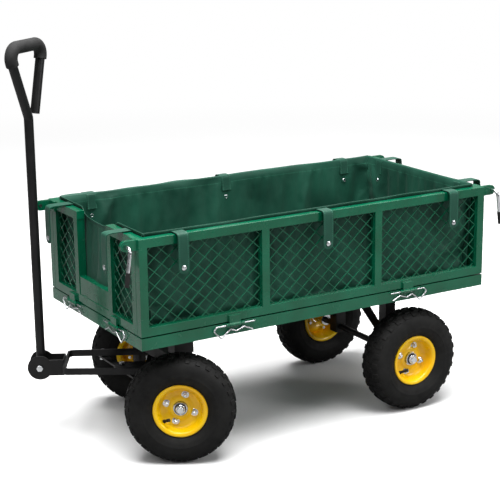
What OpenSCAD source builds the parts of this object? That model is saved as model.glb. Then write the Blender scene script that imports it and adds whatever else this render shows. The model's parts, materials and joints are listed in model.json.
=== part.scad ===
// Four-wheel garden cart: welded tray, fold-down mesh sides, fabric liner,
// knuckle steering with a tie rod, and an upright pull handle.
// +X is forward (towards the handle), +Y is the cart's left, +Z is up.
// The origin is the centre of the load floor's top.

/* [Tray] */
// Length of the tray over its rim
bed_l = 960; // [760:10:1200]
// Width of the tray over its rim
bed_w = 490; // [400:10:640]
// Height of the folded rim
rim_h = 28; // [22:1:40]
// Sheet thickness of the rim
rim_t = 2; // [1.2:0.2:4]
// Width of the rim's inward lip
rim_lip = 25; // [15:1:35]
// Depth of the load floor under the rim's top
floor_drop = 12; // [8:1:18]

/* [Sides] */
// Height of the side panels and gates
panel_h = 222; // [160:2:320]
// Outside width of the square frame tube
tube = 20; // [16:1:30]
// Wall of the square frame tube
tube_wall = 1.5; // [1:0.1:3]
// Gap between the rim's top and a closed panel
seat_gap = 3; // [2:0.5:6]
// Gap between a gate and the side panels beside it
gate_gap = 1; // [0.5:0.5:4]
// Width of the front gate's cut-out between its inner posts
cutout_w = 160; // [100:5:240]
// Height of the solid sheet under the cut-out, over the gate's bottom edge
ledge_h = 64; // [40:2:120]
// Width of one mesh diamond
diamond_w = 36; // [24:2:80]
// Height of one mesh diamond
diamond_h = 32; // [20:2:70]
// Width of a mesh strand
strand = 1.9; // [1.5:0.1:4]
// Thickness of the mesh
mesh_t = 2; // [1:0.5:4]
// Depth of the mesh behind the panel's outer face
mesh_recess = 7; // [4:0.5:12]

/* [Panel hinges] */
// Distance of a side panel's knuckles from the middle of the tray
side_knuckle_x = 245; // [150:5:330]
// Distance of a gate's knuckles from the middle of the tray
gate_knuckle_y = 114; // [90:2:150]
// Length of a panel's knuckle
knuckle_l = 30; // [20:1:50]
// Length of each rim eyelet beside the knuckle
eyelet_l = 8; // [5:1:14]
// Outside diameter of knuckles and eyelets
knuckle_d = 9; // [8:0.5:9.5]
// Diameter of the clip wire that is the hinge pin
wire_d = 3.6; // [3:0.1:4.2]
// Radial clearance of the wire in its knuckle
wire_clear = 0.1; // [0.05:0.05:0.2]

/* [Latches] */
// Diameter of the latch rod
latch_d = 8; // [6:0.5:10]
// Distance of the rod in front of the tray's end
latch_out = 28; // [22:1:36]
// Distance of the rod under the panel's top
latch_drop = 12; // [12:1:20]
// Length of the lever from the rod's axis to the end of its grip
lever_l = 84; // [60:2:110]
// Lean of the lever away from the panel's end
lever_lean = 8; // [0:1:20]
// Length of the lever's rubber grip
latch_grip_l = 32; // [20:1:45]
// Outside diameter of the lever's rubber grip
latch_grip_d = 10.6; // [9:0.2:14]
// Thickness of the panel's latch ear
ear_t = 4; // [3:0.5:6]
// Thickness of the gate's latch ear
gate_ear_t = 2; // [1.5:0.1:2.2]

/* [Liner] */
// Thickness of the fabric solids
fabric_t = 3; // [2:0.5:4]
// Gap between the fabric and the frame behind it
liner_gap = 3; // [2:0.5:6]
// Width of a strap
strap_w = 27; // [20:1:40]
// Thickness of a strap
strap_t = 2.4; // [1.5:0.1:3]
// Length that a strap hangs down outside
strap_drop = 88; // [50:2:120]
// Diameter of a press stud
stud_d = 11; // [8:0.5:14]
// Distance of the outer straps from the middle of a side panel
side_strap_x = 376; // [220:2:400]
// Distance of the front gate's straps from its middle
front_strap_y = 156; // [120:2:180]
// Distance of the rear gate's straps from its middle
rear_strap_y = 166; // [60:2:180]

/* [Wheels] */
// Outside diameter of the tyre
wheel_d = 258; // [220:2:300]
// Width of the tyre
tyre_w = 82; // [60:2:100]
// Outside diameter of the rim's flange
rim_d = 127; // [110:1:140]
// Width of the rim over its flanges
rim_w = 60; // [46:2:70]
// Diameter of the axles
axle_d = 16; // [12:1:20]
// Radial clearance between a hub and its axle
hub_clear = 0.1; // [0.05:0.05:0.2]
// Pitch circle of the rim bolts
rim_pcd = 68; // [60:1:74]
// Distance of the rear axle behind the middle of the tray
rear_axle_x = 284; // [200:2:340]
// Distance of a rear wheel's middle plane from the cart's middle
rear_track = 204; // [180:2:240]
// Height of the axles' centres under the load floor
axle_drop = 185; // [170:1:230]

/* [Steering] */
// Distance of the kingpins in front of the middle of the tray
kingpin_x = 313; // [240:1:340]
// Distance of each kingpin from the cart's middle
kingpin_y = 111; // [100:1:130]
// Distance of a front wheel's middle plane from its kingpin
wheel_offset = 101; // [92:1:120]
// Angle by which the wheels and the drawbar are turned to the right
steer = 30; // [0:1:34]
// Length of the steering arms
arm_l = 92; // [80:1:110]
// Diameter of the kingpins
kingpin_d = 16; // [12:1:20]
// Diameter of the drawbar's pivot bolt
pivot_d = 14; // [10:1:18]
// Diameter of the tie rod's bolts
link_d = 8; // [6:1:10]
// Radial clearance of steering pins in their holes
pin_clear = 0.1; // [0.05:0.05:0.2]

/* [Handle] */
// Distance from the drawbar's pivot to the handle's pivot
drawbar_l = 287; // [260:1:340]
// Height of the handle's pivot over the axles' centres
pivot_rise = 39; // [34:1:48]
// Diameter of the handle tube
handle_d = 22; // [18:1:28]
// Wall of the handle tube
handle_wall = 2; // [1.5:0.1:3]
// Length from the pivot to the fork of the grip loop
stem_l = 604; // [450:2:750]
// Height of the grip loop over its fork
loop_h = 166; // [130:2:200]
// Half width of the grip loop at the grip
loop_half = 72; // [60:1:90]
// Distance of the loop's free end from the stem's centre line
loop_end_w = 28; // [26:1:34]
// Angle by which the grip loop is turned about the stem
loop_turn = 24.6; // [0:0.2:40]
// Outside diameter of the foam grip
grip_d = 30; // [26:1:34]
// Diameter of the handle's pivot bolt
handle_bolt_d = 10; // [8:1:12]
// Outside radius of the tongue head's round end
head_r = 30; // [26:1:38]
// Distance between the tongue head's side plates
head_gap = 44; // [36:1:60]

/* [Hidden] */
$fn = 48;
green = "#0b6b3e";
liner_green = "#1d3a31";
black = "#222222";
zinc = "#c9ccd0";
yellow = "#ffd400";
rubber = "#2b2b2b";

// Heights, all over the load floor's top.
rim_top = floor_drop;
rim_low = rim_top - rim_h;
mesh_top = -fabric_t;
panel_low = rim_top + seat_gap;
panel_top = panel_low + panel_h;
axle_z = -axle_drop;
half_l = bed_l / 2;
half_w = bed_w / 2;

// Panel hinges: the axis runs just outside the rim, under the panel.
hinge_out = knuckle_d / 2 + 0.5;
hinge_z = rim_top - knuckle_d / 2 + 0.5;
gate_half = half_w - tube - gate_gap;
liner_in = tube + liner_gap + fabric_t;
latch_z = panel_top - latch_drop;
ear_r = 12;
latch_hole_d = latch_d + 0.4;
gate_hole_d = latch_d + 2;
// A side panel's latch ear and the gate's ear inside it, along Y.
ear_y = half_w - 7;
gate_ear_y = ear_y - ear_t - 3;
latch_tip_y = gate_ear_y - gate_ear_t - 0.4;
latch_bend_y = half_w + 17;

// Steering heights.
frame_tube = 30;
leg_l = 50;
saddle_t = 6;
sleeve_d = 30;
fork_h = 16;
fork_rise = 5;
handle_z = axle_z + pivot_rise;
fork_low = handle_z + fork_rise - fork_h / 2;
beam_low = fork_low + fork_h + 3;
sleeve_top = beam_low + 50;
arm_t = 6;
arm_w = 20;
plate_top = fork_low + 1;
arm_top = plate_top - 1;
link_t = 5;
link_top = plate_top - arm_t - 2;
fork_t = 5;
fork_half = 70;
fork_back_half = 76;
fork_corner = 14;
fork_front = drawbar_l - 58;
knuckle_block_d = 32;

// Wheel sections.
hub_d = 32;
hub_in = 38;
hub_out = 14;
disc_t = 4;
seat_r = rim_d / 2 - 11;

// A round bar or wire along flat points, with round bends of radius bend. Each
// straight stops a seam short of a bend, and a thin collar joins the two.
seam = 0.1;
collar = 0.08;
function unit(v) = v / norm(v);
function turn(a, b, c) = acos(max(-1, min(1, unit(b - a) * unit(c - b))));
function side(a, b, c) = cross(b - a, c - b) >= 0 ? 1 : -1;
function cut(pts, i, bend) =
    i == 0 || i == len(pts) - 1 ? 0 : bend * tan(turn(pts[i - 1], pts[i], pts[i + 1]) / 2);
function heading(v) = atan2(v[1], v[0]);

module along(from, d, r, h) {
    translate([from[0], from[1], 0]) rotate([0, 0, heading(d)]) rotate([0, 90, 0])
        cylinder(r = r, h = h);
}

module bent_bar(pts, r, bend) {
    n = len(pts);
    for (i = [0 : n - 2]) {
        d = unit(pts[i + 1] - pts[i]);
        a = pts[i] + d * (cut(pts, i, bend) + (i > 0 ? seam : 0));
        b = pts[i + 1] - d * (cut(pts, i + 1, bend) + (i < n - 2 ? seam : 0));
        along(a, d, r, norm(b - a));
        if (i > 0) along(a - 4 * seam * d, d, r + collar, 8 * seam);
        if (i < n - 2) along(b - 4 * seam * d, d, r + collar, 8 * seam);
    }
    for (i = [1 : 1 : n - 2]) {
        s = side(pts[i - 1], pts[i], pts[i + 1]);
        d = unit(pts[i] - pts[i - 1]);
        c = pts[i] - d * cut(pts, i, bend) + s * bend * [-d[1], d[0]];
        w = turn(pts[i - 1], pts[i], pts[i + 1]);
        first = s > 0 ? heading(d) - 90 : heading(d) + 90 - w;
        translate([c[0], c[1], 0]) rotate([0, 0, first]) rotate_extrude(angle = w)
            translate([bend, 0]) circle(r = r);
    }
}

// Places children on the side or end that they belong to.
module on_right() { mirror([0, 1, 0]) children(); }
module on_rear() { mirror([1, 0, 0]) children(); }
module steered(y) {
    translate([kingpin_x, y, 0]) rotate([0, 0, -steer]) children();
}

module box(lo, hi) { translate(lo) cube(hi - lo); }

// ---- tray ----

module rim_side(len) {
    // Channel section along X, with its outer face at y = 0.
    rotate([90, 0, 90]) translate([0, 0, -len / 2]) linear_extrude(len)
        polygon([[0, rim_low], [0, rim_top], [-rim_lip, rim_top], [-rim_lip, rim_top - rim_t],
                 [-rim_t, rim_top - rim_t], [-rim_t, rim_low + rim_t],
                 [-rim_lip / 2, rim_low + rim_t], [-rim_lip / 2, rim_low]]);
}

module eyelets() {
    // Two eyelets on the rim's outer face, either side of a panel's knuckle.
    for (s = [-1, 1]) translate([s * (knuckle_l + eyelet_l + 2) / 2, 0, 0]) difference() {
        union() {
            translate([-eyelet_l / 2, hinge_out, hinge_z]) rotate([0, 90, 0])
                cylinder(d = knuckle_d, h = eyelet_l);
            box([-eyelet_l / 2, 0, hinge_z - 2], [eyelet_l / 2, hinge_out, hinge_z + 2]);
        }
        translate([-eyelet_l, hinge_out, hinge_z]) rotate([0, 90, 0])
            cylinder(r = wire_d / 2 + wire_clear, h = 2 * eyelet_l);
    }
}

module all_hinges() {
    // Children stand at each of the eight hinges, outwards along +Y.
    for (r = [0, 1]) mirror([r, 0, 0]) for (q = [0, 1]) mirror([0, q, 0]) {
        translate([side_knuckle_x, half_w, 0]) children();
        translate([half_l, gate_knuckle_y, 0]) rotate([0, 0, -90]) mirror([1, 0, 0]) children();
    }
}

module tray_rim() {
    color(green) union() {
        for (q = [0, 1]) mirror([0, q, 0]) translate([0, half_w, 0]) rim_side(bed_l);
        for (q = [0, 1]) mirror([q, 0, 0]) translate([half_l, 0, 0])
            rotate([0, 0, -90]) rim_side(bed_w);
        all_hinges() eyelets();
    }
}

module diamonds(x0, x1, z0, z1, w, h, s) {
    // Crossed strands that fill a rectangle in the XY plane, with a plain border.
    a = atan2(h, w);
    n = ceil((x1 - x0) / w + (z1 - z0) / h) + 1;
    mid = [(x0 + x1) / 2, (z0 + z1) / 2];
    intersection() {
        translate([x0, z0]) square([x1 - x0, z1 - z0]);
        for (k = [-ceil(n / 2) : ceil(n / 2)], m = [-1, 1])
            translate(mid + [(k + 0.5) * w, 0]) rotate(m * a)
                square([2 * (x1 - x0 + z1 - z0), s], center = true);
    }
    difference() {
        translate([x0, z0]) square([x1 - x0, z1 - z0]);
        translate([x0 + s, z0 + s]) square([x1 - x0 - 2 * s, z1 - z0 - 2 * s]);
    }
}

module floor_mesh() {
    inner_x = half_l - rim_t - 2;
    inner_y = half_w - rim_t - 2;
    color(green) translate([0, 0, mesh_top - mesh_t]) linear_extrude(mesh_t)
        diamonds(-inner_x, inner_x, -inner_y, inner_y, 2 * diamond_w, 2 * diamond_h, 4);
}

member_top = mesh_top - mesh_t;
member_half = 32;
member_wall = 2;
module cross_members() {
    // Channels across the tray, open downwards.
    color(green) for (x = [-rear_axle_x, 0, kingpin_x]) difference() {
        box([x - member_half, -half_w + rim_t, rim_low],
            [x + member_half, half_w - rim_t, member_top]);
        box([x - member_half + member_wall, -half_w, rim_low - 1],
            [x + member_half - member_wall, half_w, member_top - member_wall]);
        for (s = [-1, 1]) translate([x, s * (half_w - rim_lip / 4), 0])
            box([-member_half - 1, -rim_lip / 3, rim_low - 1],
                [member_half + 1, rim_lip / 3, rim_low + rim_t + 0.1]);
    }
}

// ---- axle frames ----

bolt_x = 38;
flange_t = 4;
module flange(x, y) {
    difference() {
        box([x - 50, y - 24, rim_low - flange_t], [x + 50, y + 24, rim_low]);
        for (s = [-1, 1]) translate([x + s * bolt_x, y, rim_low - flange_t - 1])
            cylinder(d = 8.4, h = flange_t + 2);
    }
}

leg_wall = 2;
module hollow_leg(x, y, l, w, z0, z1) {
    inner_l = l / 2 - leg_wall;
    inner_w = w / 2 - leg_wall;
    difference() {
        box([x - l / 2, y - w / 2, z0], [x + l / 2, y + w / 2, z1]);
        box([x - inner_l, y - inner_w, z0 - 1], [x + inner_l, y + inner_w, z1 + 1]);
    }
}

module front_axle_frame() {
    color(black) difference() {
        union() {
            for (s = [-1, 1]) {
                flange(kingpin_x, s * kingpin_y);
                hollow_leg(kingpin_x, s * kingpin_y, leg_l, frame_tube + 4,
                           sleeve_top, rim_low - flange_t);
                box([kingpin_x - leg_l / 2, s * kingpin_y - frame_tube / 2 - leg_wall,
                     sleeve_top - saddle_t],
                    [kingpin_x + leg_l / 2, s * kingpin_y + frame_tube / 2 + leg_wall, sleeve_top]);
                translate([kingpin_x, s * kingpin_y, beam_low])
                    cylinder(d = sleeve_d, h = sleeve_top - beam_low - 1);
            }
            difference() {
                box([kingpin_x - frame_tube / 2, -kingpin_y, beam_low],
                    [kingpin_x + frame_tube / 2, kingpin_y, beam_low + frame_tube]);
                box([kingpin_x - frame_tube / 2 + leg_wall, -kingpin_y + sleeve_d / 2,
                     beam_low + leg_wall],
                    [kingpin_x + frame_tube / 2 - leg_wall, kingpin_y - sleeve_d / 2,
                     beam_low + frame_tube - leg_wall]);
            }
        }
        for (s = [-1, 1]) translate([kingpin_x, s * kingpin_y, beam_low - 1])
            cylinder(r = kingpin_d / 2 + pin_clear, h = sleeve_top - beam_low + 2);
        translate([kingpin_x, 0, beam_low - 1]) cylinder(d = pivot_d, h = frame_tube + 2);
    }
}

brace_reach = 96;
brace_t = 8;
brace_foot = 32;
module rear_axle_frame() {
    color(black) for (s = [-1, 1]) difference() {
        union() {
            flange(-rear_axle_x, s * kingpin_y);
            hollow_leg(-rear_axle_x, s * kingpin_y, frame_tube, frame_tube,
                       axle_z - frame_tube / 2, rim_low - flange_t);
            translate([-rear_axle_x, s * kingpin_y, axle_z]) rotate([90, 0, 0])
                cylinder(d = frame_tube, h = frame_tube, center = true);
            rear_brace(s * kingpin_y);
        }
        translate([-rear_axle_x, s * kingpin_y, axle_z]) rotate([90, 0, 0])
            cylinder(d = axle_d, h = 2 * frame_tube, center = true);
    }
}

module rear_brace(y) {
    // Flat bar from the leg, just over the axle, up to the tray in front of it.
    low = axle_z + 24;
    high = rim_low - 0.5;
    rotate([90, 0, 0]) translate([0, 0, -y - brace_t / 2]) linear_extrude(brace_t)
        polygon([[-rear_axle_x + frame_tube / 2 - 1, low],
                 [-rear_axle_x + frame_tube / 2 - 1, low + brace_foot],
                 [-rear_axle_x + brace_reach - 10, high],
                 [-rear_axle_x + brace_reach + 16, high]]);
}

shaft_end = 24;
washer_d = 20;
washer_t = 2.5;
module rear_axle_shaft() {
    color(black) union() {
        translate([-rear_axle_x, 0, axle_z]) rotate([90, 0, 0])
            cylinder(d = axle_d, h = 2 * (rear_track + shaft_end), center = true);
        for (s = [-1, 1]) translate([-rear_axle_x, s * (rear_track + hub_out + 3.5), axle_z])
            rotate([90, 0, 0]) cylinder(d = washer_d, h = washer_t, center = true);
    }
}

module hex_bolt(d, from, to) {
    // Vertical bolt through from..to, with a hexagon head over and a nut under it.
    translate([0, 0, from]) cylinder(d = d, h = to - from);
    translate([0, 0, to]) cylinder(d = 1.8 * d, h = 0.65 * d, $fn = 6);
    translate([0, 0, from - 0.8 * d]) cylinder(d = 1.8 * d, h = 0.8 * d, $fn = 6);
}

module steering_bolt() {
    color(zinc) translate([kingpin_x, 0, 0])
        hex_bolt(pivot_d, plate_top - arm_t - 0.4, beam_low + frame_tube);
}

module frame_bolts() {
    color(zinc) for (x = [kingpin_x, -rear_axle_x], y = [-kingpin_y, kingpin_y], s = [-1, 1])
        translate([x + s * bolt_x, y, rim_low - flange_t - 5]) {
            cylinder(d = 13, h = 5, $fn = 6);
            cylinder(d = 8, h = 5 + flange_t);
        }
}

// ---- hinge clips ----

module r_clip() {
    // The straight leg is the hinge pin. The bent leg springs under the knuckle.
    translate([0, hinge_out, 0]) rotate([90, 0, 0]) bent_bar([
        [-52, hinge_z], [48, hinge_z], [56, hinge_z - 9], [37, hinge_z - 29],
        [12, hinge_z - 10], [-4, hinge_z - 16], [-24, hinge_z - 9], [-46, hinge_z - 19]
    ], wire_d / 2, 3.5);
}

module r_clips() {
    color(zinc) all_hinges() r_clip();
}

module liner_floor() {
    x = half_l - rim_lip - 4;
    y = half_w - rim_lip - 4;
    color(liner_green) box([-x, -y, -fabric_t], [x, y, 0]);
}

// ---- panels and gates ----

module ladder(width, posts, inset) {
    // Outline of a panel's frame in XY, with the wall's inset taken off all round.
    t = tube - 2 * inset;
    for (z = [inset, panel_h - tube + inset])
        translate([-width / 2 + inset, z]) square([width - 2 * inset, t]);
    for (x = concat([-width / 2 + tube / 2, width / 2 - tube / 2], posts))
        translate([x - t / 2, inset]) square([t, panel_h - 2 * inset]);
}

module tube_ladder(width, posts) {
    // Square-tube frame, outer face at y = 0, standing on z = panel_low.
    translate([0, 0, panel_low]) rotate([90, 0, 0]) difference() {
        linear_extrude(tube) ladder(width, posts, 0);
        translate([0, 0, tube_wall]) linear_extrude(tube - 2 * tube_wall)
            ladder(width, posts, tube_wall);
    }
}

module knuckle() {
    // A panel's hinge knuckle, with its block on the bottom rail's outer face.
    difference() {
        union() {
            translate([-knuckle_l / 2, hinge_out, hinge_z]) rotate([0, 90, 0])
                cylinder(d = knuckle_d, h = knuckle_l);
            box([-knuckle_l / 2, hinge_out - 3, hinge_z], [knuckle_l / 2, hinge_out + 1, panel_low + 15]);
            box([-knuckle_l / 2, 0, panel_low + 1], [knuckle_l / 2, hinge_out, panel_low + 15]);
        }
        translate([-knuckle_l, hinge_out, hinge_z]) rotate([0, 90, 0])
            cylinder(r = wire_d / 2 + wire_clear, h = 2 * knuckle_l);
    }
}

module ear(reach, hole) {
    // Latch ear in XY: a tab from x = 0 with a round end and a hole.
    difference() {
        union() {
            translate([0, -ear_r]) square([reach, 2 * ear_r]);
            translate([reach, 0]) circle(r = ear_r);
        }
        translate([reach, 0]) circle(d = hole);
    }
}

module side_panel_frame() {
    color(green) union() {
        translate([0, half_w, 0]) tube_ladder(bed_l, [-bed_l / 6 + 2, bed_l / 6 - 2]);
        for (q = [0, 1]) mirror([q, 0, 0]) {
            translate([half_l - 1, ear_y, latch_z]) rotate([90, 0, 0])
                linear_extrude(ear_t) ear(latch_out + 1, latch_hole_d);
            translate([side_knuckle_x, half_w, 0]) knuckle();
        }
    }
}

module panel_mesh(spans) {
    // Expanded mesh behind a frame whose outer face is at y = 0.
    color(green) translate([0, -mesh_recess, panel_low]) rotate([90, 0, 0])
        linear_extrude(mesh_t) for (s = spans)
            diamonds(s[0] + 0.2, s[1] - 0.2, tube + 0.2, panel_h - tube - 0.2,
                     diamond_w, diamond_h, strand);
}

post_x = bed_l / 6 - 2;
module side_panel_mesh() {
    e = half_l - tube;
    h = tube / 2;
    translate([0, half_w, 0])
        panel_mesh([[-e, -post_x - h], [-post_x + h, post_x - h], [post_x + h, e]]);
}

strap_gap = 0.4;
mid_strap_x = -6;
module strap() {
    // Over the top rail and down outside it, with a round end. Outer face at y = 0.
    translate([-strap_w / 2, 0, 0]) {
        box([0, -tube - liner_gap, panel_top + 0.3], [strap_w, strap_gap + strap_t, panel_top + 0.3 + strap_t]);
        box([0, strap_gap, panel_top - strap_drop + strap_w / 2],
            [strap_w, strap_gap + strap_t, panel_top + strap_gap]);
    }
    translate([0, strap_gap + strap_t, panel_top - strap_drop + strap_w / 2]) rotate([90, 0, 0])
        cylinder(d = strap_w, h = strap_t);
}

module stud() {
    translate([0, strap_gap + strap_t, panel_top - strap_drop + strap_w / 2]) rotate([-90, 0, 0]) {
        cylinder(d = stud_d, h = 1.2);
        cylinder(d = 0.6 * stud_d, h = 2.2);
    }
}

module side_straps() {
    color(liner_green) for (x = [-side_strap_x, mid_strap_x, side_strap_x]) translate([x, half_w, 0]) strap();
}

module side_studs() {
    color(zinc) for (x = [-side_strap_x, mid_strap_x, side_strap_x]) translate([x, half_w, 0]) stud();
}

module side_liner_wall() {
    x = half_l - liner_in - 4;
    color(liner_green) box([-x, half_w - liner_in, rim_top + 2],
                           [x, half_w - liner_in + fabric_t, panel_top - 1]);
}

module facing_front() {
    // Turns an outer face at y = 0 to the tray's front end.
    translate([half_l, 0, 0]) rotate([0, 0, -90]) children();
}

module gate_fittings() {
    for (q = [0, 1]) mirror([0, q, 0]) {
        box([half_l - 0.5, gate_half - 22, latch_z - ear_r],
            [half_l + 1.6, gate_half - 2, latch_z + ear_r]);
        box([half_l + 1.5, gate_half - 22, latch_z - ear_r],
            [half_l + 4, gate_ear_y, latch_z + ear_r]);
        translate([half_l + 2, gate_ear_y, latch_z]) rotate([90, 0, 0])
            linear_extrude(gate_ear_t) ear(latch_out - 2, gate_hole_d);
        translate([half_l, gate_knuckle_y, 0]) rotate([0, 0, -90]) mirror([1, 0, 0]) knuckle();
    }
}

inner_post = cutout_w / 2 + tube / 2;
module front_gate_frame() {
    color(green) union() {
        difference() {
            facing_front() tube_ladder(2 * gate_half, [-inner_post, inner_post]);
            box([half_l - tube - 1, -cutout_w / 2, panel_top - tube - 1],
                [half_l + 1, cutout_w / 2, panel_top + 1]);
        }
        box([half_l - 4, -cutout_w / 2 - 1, panel_low + tube - 1],
            [half_l - 1.5, cutout_w / 2 + 1, panel_low + ledge_h]);
        box([half_l - tube + 1, -cutout_w / 2 - 1, panel_low + ledge_h - 2],
            [half_l - 1.5, cutout_w / 2 + 1, panel_low + ledge_h]);
        for (s = [-1, 1]) translate([half_l - tube / 2, s * cutout_w / 2 - s * 0.5, panel_top - tube / 2])
            cube([tube, 1.5, tube], center = true);
        gate_fittings();
    }
}

module front_gate_mesh() {
    e = gate_half - tube;
    facing_front() panel_mesh([[-e, -cutout_w / 2 - tube], [cutout_w / 2 + tube, e]]);
}

module rear_gate_frame() {
    color(green) union() {
        on_rear() facing_front() tube_ladder(2 * gate_half, [0]);
        on_rear() gate_fittings();
    }
}

module rear_gate_mesh() {
    e = gate_half - tube;
    on_rear() facing_front() panel_mesh([[-e, -tube / 2], [tube / 2, e]]);
}

module gate_straps(y) {
    color(liner_green) for (s = [-1, 1]) facing_front() translate([s * y, 0, 0]) strap();
}

module gate_studs(y) {
    color(zinc) for (s = [-1, 1]) facing_front() translate([s * y, 0, 0]) stud();
}

module gate_liner_wall() {
    y = half_w - liner_in - 4;
    color(liner_green) box([half_l - liner_in, -y, rim_top + 2],
                           [half_l - liner_in + fabric_t, y, panel_top - 1]);
}

// ---- latches ----

lever_bend = 12;
module latch_frame() {
    // Children lie in XY: X outwards from the cart, Y up from the rod's axis.
    translate([half_l + latch_out, 0, latch_z]) rotate([0, -lever_lean, 0])
        rotate([90, 0, 90]) children();
}

module latch_rod() {
    color(zinc) latch_frame() bent_bar([
        [latch_tip_y, 0], [latch_bend_y, 0], [latch_bend_y, -lever_l + 4]
    ], latch_d / 2, lever_bend);
}

module latch_grip() {
    color(rubber) latch_frame() difference() {
        translate([latch_bend_y, -lever_l, 0]) rotate([-90, 0, 0])
            cylinder(d = latch_grip_d, h = latch_grip_l);
        translate([latch_bend_y, -lever_l + 4, 0]) rotate([-90, 0, 0])
            cylinder(d = latch_d, h = latch_grip_l);
    }
}

// ---- steering ----

module knuckle_body(outer) {
    // Kingpin, stub axle and steering arm of one front wheel, before steering.
    // outer is 1 on the left and -1 on the right.
    color(black) difference() {
        union() {
            cylinder_z(kingpin_d, beam_low - 2, sleeve_top + 1);
            cylinder_z(knuckle_block_d, axle_z - 15, beam_low - 1.5);
            translate([0, 0, axle_z]) rotate([-90 * outer, 0, 0])
                cylinder(d = axle_d, h = wheel_offset + shaft_end);
            translate([0, outer * (wheel_offset + hub_out + 2.2), axle_z])
                rotate([-90 * outer, 0, 0]) cylinder(d = washer_d, h = washer_t);
            box([0, -arm_w / 2, arm_top - arm_t], [arm_l, arm_w / 2, arm_top]);
            translate([arm_l, 0, 0]) cylinder_z(arm_w, arm_top - arm_t, arm_top);
            translate([0, 0, sleeve_top + 0.4]) cylinder(d = 26, h = 10, $fn = 6);
        }
        translate([arm_l, 0, 0]) cylinder_z(link_d + 0.6, arm_top - arm_t - 1, arm_top + 1);
    }
}

module cylinder_z(d, from, to) { translate([0, 0, from]) cylinder(d = d, h = to - from); }

module fork_outline(inset) {
    // Outline of the flat-bar fork, slightly spread at its open end.
    r = fork_corner - inset;
    x = fork_front - fork_corner;
    y = fork_half - fork_corner;
    polygon(concat(
        [[-inset, -fork_back_half + inset]],
        [for (a = [-90 : 15 : 0]) [x + r * cos(a), -y + r * sin(a)]],
        [for (a = [0 : 15 : 90]) [x + r * cos(a), y + r * sin(a)]],
        [[-inset, fork_back_half - inset]]));
}

module drawbar() {
    // U-shaped flat bar on a pivot plate, before steering.
    color(black) difference() {
        union() {
            translate([0, 0, fork_low]) linear_extrude(fork_h) difference() {
                fork_outline(0);
                fork_outline(fork_t);
            }
            box([-18, -fork_back_half, plate_top - arm_t], [34, fork_back_half, plate_top]);
            box([0, -arm_w, plate_top - arm_t], [arm_l, arm_w, plate_top]);
            translate([arm_l, 0, 0]) cylinder_z(2 * arm_w, plate_top - arm_t, plate_top);
            cylinder_z(40, plate_top - 0.5, beam_low - 1);
        }
        cylinder_z(pivot_d + 2 * pin_clear, plate_top - arm_t - 1, beam_low);
        translate([arm_l, 0, 0]) cylinder_z(link_d + 2 * pin_clear, plate_top - arm_t - 1, plate_top + 1);
    }
}

plate_w = 3;
cheek_half = 20;
module tongue_head() {
    // Box bracket on the drawbar's crosspiece: two round-ended cheeks and a back.
    cheek = head_gap / 2;
    back = fork_front;
    low = handle_z - cheek_half;
    top = handle_z + cheek_half;
    color(black) difference() {
        union() {
            for (s = [-1, 1]) {
                translate([drawbar_l, s * (cheek + plate_w / 2), handle_z]) rotate([90, 0, 0])
                    cylinder(r = head_r, h = plate_w, center = true);
                box([back, s * (cheek + plate_w / 2) - plate_w / 2, low],
                    [drawbar_l, s * (cheek + plate_w / 2) + plate_w / 2, top]);
            }
            box([back, -cheek - plate_w, low], [back + plate_w, cheek + plate_w, top]);
            box([back, -cheek, low], [back + 14, cheek, low + plate_w]);
        }
        translate([drawbar_l, 0, handle_z]) rotate([90, 0, 0])
            cylinder(r = handle_bolt_d / 2 + pin_clear, h = 2 * head_gap, center = true);
    }
}

module handle_bolt() {
    out = head_gap / 2 + plate_w;
    color(zinc) translate([drawbar_l, 0, handle_z]) rotate([90, 0, 0]) {
        cylinder(d = handle_bolt_d, h = 2 * out, center = true);
        for (s = [0, 1]) mirror([0, 0, s]) translate([0, 0, out])
            cylinder(d = 17, h = 6, $fn = 6);
    }
}

link_x = kingpin_x + arm_l * cos(steer);
link_y = -arm_l * sin(steer);
module tie_rod() {
    color(black) difference() {
        union() {
            box([link_x - 9, link_y - kingpin_y, link_top - link_t],
                [link_x + 9, link_y + kingpin_y, link_top]);
            for (s = [-1, 1]) translate([link_x, link_y + s * kingpin_y, 0])
                cylinder_z(18, link_top - link_t, link_top);
        }
        for (s = [-1, 0, 1]) translate([link_x, link_y + s * kingpin_y, 0])
            cylinder_z(link_d, link_top - link_t - 1, link_top + 1);
    }
}

module tie_rod_bolts() {
    color(zinc) for (s = [-1, 0, 1]) translate([link_x, link_y + s * kingpin_y, 0])
        hex_bolt(link_d, link_top - link_t, plate_top + 0.4);
}

// ---- handle ----

loop_bend = 24;
loop_pts = [
    [0, 0], [0, stem_l], [-loop_half, stem_l + loop_h], [loop_half, stem_l + loop_h],
    [loop_end_w, stem_l + 6]
];
module handle_frame() {
    // Children lie in XY: Y up the stem from the handle's pivot, X across the cart.
    translate([drawbar_l, 0, handle_z]) rotate([0, 0, -loop_turn]) rotate([90, 0, -90]) children();
}

module loop_bar(r) { bent_bar(loop_pts, r, loop_bend); }

module handle_tube() {
    bore = handle_d / 2 - handle_wall;
    color(black) difference() {
        union() {
            handle_frame() loop_bar(handle_d / 2);
            translate([drawbar_l, 0, handle_z]) rotate([90, 0, 0])
                cylinder(d = handle_d + 8, h = head_gap - 1, center = true);
        }
        handle_frame() rotate([-90, 0, 0]) cylinder(r = bore, h = stem_l - 60);
        translate([drawbar_l, 0, handle_z]) rotate([90, 0, 0])
            cylinder(r = handle_bolt_d / 2 + pin_clear, h = 2 * head_gap, center = true);
    }
}

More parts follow.
